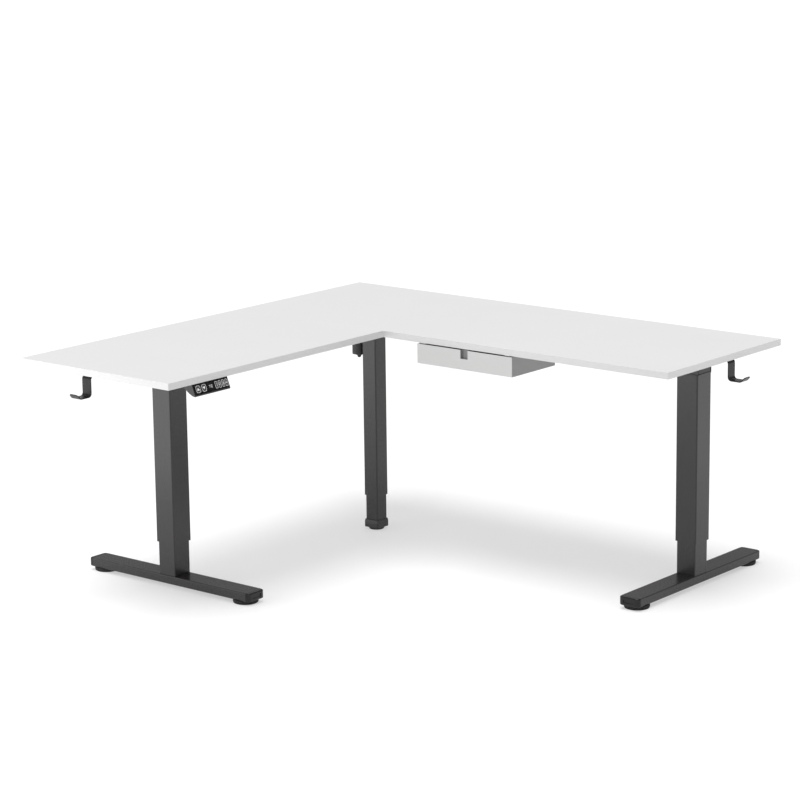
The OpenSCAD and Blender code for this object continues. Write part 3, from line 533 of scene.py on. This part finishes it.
def build_feet(shapes):
    for side, along in (("left", 0), ("right", 1)):
        beam_low, beam_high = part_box(side + "_foot_beam")
        caps_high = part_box(side + "_end_caps")[1]
        across = 1 - along
        length = caps_high[along] - beam_high[along]
        width = beam_high[across] - beam_low[across]
        height = beam_high.z - beam_low.z
        centre = middle((beam_low, beam_high))
        parts = []
        for end in (1, -1):
            bm = foot_cap(width, length, height, shapes.cap_round, length * 0.86)
            turn = (0 if end > 0 else math.pi) if along else -end * QUARTER
            spot = Vector((centre.x, centre.y, beam_low.z))
            spot[along] = beam_high[along] if end > 0 else beam_low[along]
            bm.transform(Matrix.Translation(spot) @ Matrix.Rotation(turn, 4, "Z"))
            parts.append(bm)
        add_piece(join(parts), side + "_foot_caps", side + "_leg", "cap_plastic",
                  nodes=(side + "_end_caps",))
        soften(side + "_foot_beam", shapes.beam_round, 3)
        dress(side + "_foot_bolts")
    soften("corner_foot", shapes.cast_round, 3)


# ---------- handset ----------

def face_frame():
    """Turn from the handset's key face (x down the slope, y along it, z out) to the room."""
    axis = next(j["axis"] for j in frame["joints"] if j["name"] == "press_up")
    out = -Vector(axis)
    along = Vector((0, 1, 0))
    return Matrix((along.cross(out), along, out)).transposed().to_4x4()


def bar(length, width, height, angle=0.0, centre=(0.0, 0.0)):
    """A thin flat bar with softened ends, for symbols."""
    bm = cuboid((-length / 2, -width / 2, 0), (length / 2, width / 2, height))
    round_edges(bm, [e for e in bm.edges if abs(e.verts[0].co.z - e.verts[1].co.z) > height / 2],
                width * 0.35, 2)
    bm.transform(Matrix.Translation((*centre, 0)) @ Matrix.Rotation(angle, 4, "Z"))
    return bm


def outline(length, width, line, height):
    """A thin rounded frame, for the border printed round a key."""
    bm = bar(length, width, height)
    ends = [f for f in bm.faces if abs(f.normal.z) > 0.9]
    for face in ends:
        bmesh.ops.inset_region(bm, faces=[face], thickness=line, use_even_offset=True)
    edges = [e for face in ends for e in face.edges]
    bmesh.ops.delete(bm, geom=ends, context="FACES_ONLY")
    bmesh.ops.bridge_loops(bm, edges=edges)
    return bm


def arrow(size, height, direction):
    """A solid arrowhead whose tip points along the face's x axis, up the slope for direction -1."""
    bm = bmesh.new()
    tip = bm.verts.new((direction * size * 0.45, 0, 0))
    foot = [bm.verts.new((-direction * size * 0.4, s * size * 0.62, 0)) for s in (-1, 1)]
    face = bm.faces.new((tip, *foot))
    top = bmesh.ops.extrude_face_region(bm, geom=[face])["geom"]
    raised = [v for v in top if isinstance(v, bmesh.types.BMVert)]
    bmesh.ops.translate(bm, verts=raised, vec=(0, 0, height))
    bmesh.ops.recalc_face_normals(bm, faces=bm.faces)
    return bm


# Segments of a digit: top, upper left, upper right, middle, lower left, lower right, bottom
DIGITS = {0: "1110111", 1: "0010010", 2: "1011101", 3: "1011011", 7: "1010010"}


def digit(number, size, height):
    """A seven segment digit, read from the user's side, with its top up the slope."""
    half, side = size / 2, size * 0.28
    places = ((-half, 0, 1), (-half / 2, -side, 0), (-half / 2, side, 0), (0, 0, 1),
              (half / 2, -side, 0), (half / 2, side, 0), (half, 0, 1))
    parts = []
    for (x, y, crosswise), shown in zip(places, DIGITS[number]):
        if shown == "1":
            length = (2 * side if crosswise else half) * 0.94
            turn = QUARTER if crosswise else 0
            parts.append(bar(length, size * SEGMENT_SHARE, height, turn, (x, y)))
    return parts


def on_top_of(node, turn):
    """Matrix that lays a mark on the middle of a handset piece's outer face."""
    out = turn.to_3x3() @ Vector((0, 0, 1))
    points = [v.co for v in NODES[node].data.vertices]
    level = max(p.dot(out) for p in points)
    inverse = turn.inverted()
    flat = [inverse @ p for p in points if p.dot(out) > level - FACE_BAND]
    low = Vector([min(p[k] for p in flat) for k in range(3)])
    high = Vector([max(p[k] for p in flat) for k in range(3)])
    return Matrix.Translation(turn @ middle((low, high))) @ turn


def build_handset(shapes):
    turn = face_frame()
    soften("handset_shell", shapes.cast_round, 4)
    soften("handset_fascia", shapes.key_round * 0.5)
    soften("handset_display", shapes.key_round * 0.6)
    lit_digits = []
    for number, shift in ((7, -DIGIT_PITCH), (1, 0.0), (0, DIGIT_PITCH)):
        for part in digit(number, LIT_DIGIT, LIT_HEIGHT):
            part.transform(Matrix.Translation((0, shift, 0)))
            lit_digits.append(part)
    segments = join(lit_digits)
    segments.transform(on_top_of("handset_display", turn))
    add_piece(segments, "display_segments", "desktop", "display_window", look="lit")


def build_keys(shapes):
    turn = face_frame()
    marks = {
        "up": [arrow(KEY_ARROW, PRINT_HEIGHT, -1)],
        "down": [arrow(KEY_ARROW, PRINT_HEIGHT, 1)],
        "one": digit(1, KEY_DIGIT, PRINT_HEIGHT),
        "two": digit(2, KEY_DIGIT, PRINT_HEIGHT),
        "three": digit(3, KEY_DIGIT, PRINT_HEIGHT),
        "memory": [bar(*PLUS_BAR, PRINT_HEIGHT), bar(*PLUS_BAR, PRINT_HEIGHT, QUARTER)],
    }
    for name, parts in marks.items():
        soften("key_" + name, shapes.key_round, 3)
        low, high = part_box("key_" + name)
        width = high.y - low.y - 2 * KEY_FLANGE
        parts.append(outline(KEY_LENGTH - 2 * shapes.key_round, width - 2 * shapes.key_round,
                             BORDER_LINE, PRINT_HEIGHT))
        mark = join(parts)
        mark.transform(on_top_of("key_" + name, turn))
        # the marks carry the print's painted glow
        add_piece(mark, "key_" + name + "_mark", "button_" + name, "key_plastic", look="print")


# ---------- stage ----------

def place_lamp(lamp, place, aim):
    """Hangs a lamp at a place, turned to shine along aim."""
    holder = bpy.data.objects.new(lamp.name, lamp)
    turn = Vector(aim).to_track_quat("-Z", "Y").to_matrix().to_4x4()
    holder.matrix_world = Matrix.Translation(place) @ turn
    bpy.context.scene.collection.objects.link(holder)


def build_studio(studio):
    """A wide pale floor, even sky light, a top lamp, two soft panels and the camera."""
    bm = bmesh.new()
    bmesh.ops.create_grid(bm, x_segments=1, y_segments=1, size=FLOOR_HALF)
    mesh = bpy.data.meshes.new("floor")
    bm.to_mesh(mesh)
    bm.free()
    look = Look("pale_floor", {"Emission Color": WHITE, "Emission Strength": studio.floor_glow})
    grain = look.noise(40.0, 3.0)
    mesh.materials.append(look.surface(
        Base_Color=look.blend(grain, (0.46, 0.46, 0.46, 1), (0.48, 0.48, 0.48, 1)),
        Roughness=0.7 + 0.1 * grain))
    floor = bpy.data.objects.new("floor", mesh)
    bpy.context.scene.collection.objects.link(floor)
    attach(floor, "left_leg")  # the legs lengthen downwards, so the floor stays under the feet

    world = bpy.data.worlds.new("studio_sky")
    world.use_nodes = True
    background = world.node_tree.nodes["Background"]
    background.inputs["Color"].default_value = WHITE
    background.inputs["Strength"].default_value = studio.sky
    bpy.context.scene.world = world

    lamp = bpy.data.lights.new("top_lamp", "SUN")
    lamp.energy = studio.top_light
    lamp.angle = math.radians(TOP_LAMP_SPREAD)
    place_lamp(lamp, (0, 0, 4), (0.06, 0.10, -1))
    for name, power, size, place, aim in (
            ("left_panel", studio.left_panel, (1.9, 1.0),
             (-0.78, -1.80, 0.52), (0.62, 0.76, -0.05)),
            ("right_panel", studio.right_panel, (0.9, 0.5),
             (1.98, 0.93, 0.27), (-0.62, -0.76, -0.1))):
        lamp = bpy.data.lights.new(name, "AREA")
        lamp.shape = "RECTANGLE"
        lamp.size, lamp.size_y = size
        lamp.energy = power
        place_lamp(lamp, place, aim)

    camera = bpy.data.cameras.new("camera")
    camera.lens = studio.camera_lens
    camera.clip_end = CAMERA_REACH
    holder = bpy.data.objects.new("camera", camera)
    holder.matrix_world = (
        Matrix.Translation(studio.camera_place)
        @ Matrix.Rotation(studio.camera_turn, 4, "Z")
        @ Matrix.Rotation(QUARTER - studio.camera_tilt, 4, "X")
        @ Matrix.Rotation(studio.camera_roll, 4, "Z"))
    bpy.context.scene.collection.objects.link(holder)
    bpy.context.scene.camera = holder
    bpy.context.scene.view_settings.view_transform = "Standard"


# ---------- operators ----------

class DeskOperator:
    bl_options = {"REGISTER", "UNDO"}

    def execute(self, context):
        self.build(context.scene)
        return {"FINISHED"}


class DESK_OT_materials(DeskOperator, bpy.types.Operator):
    """Make the procedural materials"""
    bl_idname = "desk.materials"
    bl_label = "Materials"

    def build(self, scene):
        LOOKS.update(make_looks(scene.desk_colours))


class DESK_OT_worktop(DeskOperator, bpy.types.Operator):
    """Build the two boards and their edge band"""
    bl_idname = "desk.worktop"
    bl_label = "Worktop"

    def build(self, scene):
        build_worktop(scene.desk_shapes)


class DESK_OT_columns(DeskOperator, bpy.types.Operator):
    """Finish the telescoping tubes and their glides"""
    bl_idname = "desk.columns"
    bl_label = "Columns"

    def build(self, scene):
        for leg in ("left", "right", "corner"):
            soften(leg + "_outer_tube", scene.desk_shapes.steel_round)
            soften(leg + "_inner_tube", scene.desk_shapes.steel_round)
            dress(leg + "_screw")
            dress(leg + "_nut")
        dress("tube_glides")


class DESK_OT_feet(DeskOperator, bpy.types.Operator):
    """Build the foot beams, their caps and the corner foot"""
    bl_idname = "desk.feet"
    bl_label = "Feet"

    def build(self, scene):
        build_feet(scene.desk_shapes)


class DESK_OT_pads(DeskOperator, bpy.types.Operator):
    """Finish the levelling pads"""
    bl_idname = "desk.pads"
    bl_label = "Levelling pads"

    def build(self, scene):
        for node in NODES:
            if node.endswith("_pad"):
                soften(node, scene.desk_shapes.steel_round)


class DESK_OT_frame(DeskOperator, bpy.types.Operator):
    """Finish the heads, rails, seam plates and their fasteners"""
    bl_idname = "desk.frame"
    bl_label = "Under-frame"

    def build(self, scene):
        for node in ("left_head", "right_head", "corner_head", "left_rails", "right_rails",
                     "seam_plates"):
            soften(node, scene.desk_shapes.steel_round)
        dress("wood_screws")
        dress("frame_bolts")


class DESK_OT_drives(DeskOperator, bpy.types.Operator):
    """Finish the gearboxes, motors, motor cover and bearings"""
    bl_idname = "desk.drives"
    bl_label = "Drives"

    def build(self, scene):
        for leg in ("left", "right", "corner"):
            soften(leg + "_gearbox", scene.desk_shapes.cast_round, 3)
            soften(leg + "_motor", scene.desk_shapes.steel_round)
        soften("motor_cover", scene.desk_shapes.steel_round)
        dress("screw_bearings")


class DESK_OT_control_box(DeskOperator, bpy.types.Operator):
    """Finish the control box and its back plate"""
    bl_idname = "desk.control_box"
    bl_label = "Control box"

    def build(self, scene):
        soften("control_box", scene.desk_shapes.steel_round, 3)
        soften("control_box_lid", scene.desk_shapes.steel_round)


class DESK_OT_drawer(DeskOperator, bpy.types.Operator):
    """Finish the drawer's tray, guides and nylon strips"""
    bl_idname = "desk.drawer"
    bl_label = "Drawer"

    def build(self, scene):
        tray = soften("drawer_tray", scene.desk_shapes.steel_round, 3)
        # painted shade: every face behind the front sheet gets the darkened drawer coat
        tray.data.materials.append(LOOKS["drawer_painted_shade"])
        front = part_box("drawer_tray")[0].y + FRONT_SHEET
        for face in tray.data.polygons:
            face.material_index = int(face.center.y > front)
        soften("drawer_guides", scene.desk_shapes.steel_round / 2)
        dress("drawer_glides")


class DESK_OT_handset(DeskOperator, bpy.types.Operator):
    """Build the handset's shell, fascia and lit display"""
    bl_idname = "desk.handset"
    bl_label = "Handset"

    def build(self, scene):
        build_handset(scene.desk_shapes)


class DESK_OT_keys(DeskOperator, bpy.types.Operator):
    """Build the handset's keys and their printed marks"""
    bl_idname = "desk.keys"
    bl_label = "Keys"

    def build(self, scene):
        build_keys(scene.desk_shapes)


class DESK_OT_hooks(DeskOperator, bpy.types.Operator):
    """Finish the two hooks"""
    bl_idname = "desk.hooks"
    bl_label = "Hooks"

    def build(self, scene):
        for node in ("left_hook", "right_hook"):
            soften(node, scene.desk_shapes.cast_round * 0.6, 3)


class DESK_OT_studio(DeskOperator, bpy.types.Operator):
    """Build the floor, lamps and camera"""
    bl_idname = "desk.studio"
    bl_label = "Studio"

    def build(self, scene):
        build_studio(scene.desk_studio)


OPERATORS = (DESK_OT_materials, DESK_OT_worktop, DESK_OT_columns, DESK_OT_feet, DESK_OT_pads,
             DESK_OT_frame, DESK_OT_drives, DESK_OT_control_box, DESK_OT_drawer, DESK_OT_handset,
             DESK_OT_keys, DESK_OT_hooks, DESK_OT_studio)


class DESK_PT_panel(bpy.types.Panel):
    """Sidebar panel with the desk's settings and builders"""
    bl_label = "Standing desk"
    bl_idname = "DESK_PT_panel"
    bl_space_type = "VIEW_3D"
    bl_region_type = "UI"
    bl_category = "Desk"

    def draw(self, context):
        scene = context.scene
        for group in (scene.desk_shapes, scene.desk_colours, scene.desk_studio):
            box = self.layout.box()
            for name in type(group).__annotations__:
                box.prop(group, name)
        for operator in OPERATORS:
            self.layout.operator(operator.bl_idname)


GROUPS = (("desk_shapes", DeskShapes), ("desk_colours", DeskColours), ("desk_studio", DeskStudio))


def register():
    for name, group in GROUPS:
        bpy.utils.register_class(group)
        setattr(bpy.types.Scene, name, bpy.props.PointerProperty(type=group))
    for operator in OPERATORS:
        bpy.utils.register_class(operator)
    bpy.utils.register_class(DESK_PT_panel)


def unregister():
    bpy.utils.unregister_class(DESK_PT_panel)
    for operator in reversed(OPERATORS):
        bpy.utils.unregister_class(operator)
    for name, group in reversed(GROUPS):
        delattr(bpy.types.Scene, name)
        bpy.utils.unregister_class(group)


def main():
    register()
    for operator in OPERATORS:
        section, call = operator.bl_idname.split(".")
        getattr(getattr(bpy.ops, section), call)()


if __name__ == "__main__":
    main()
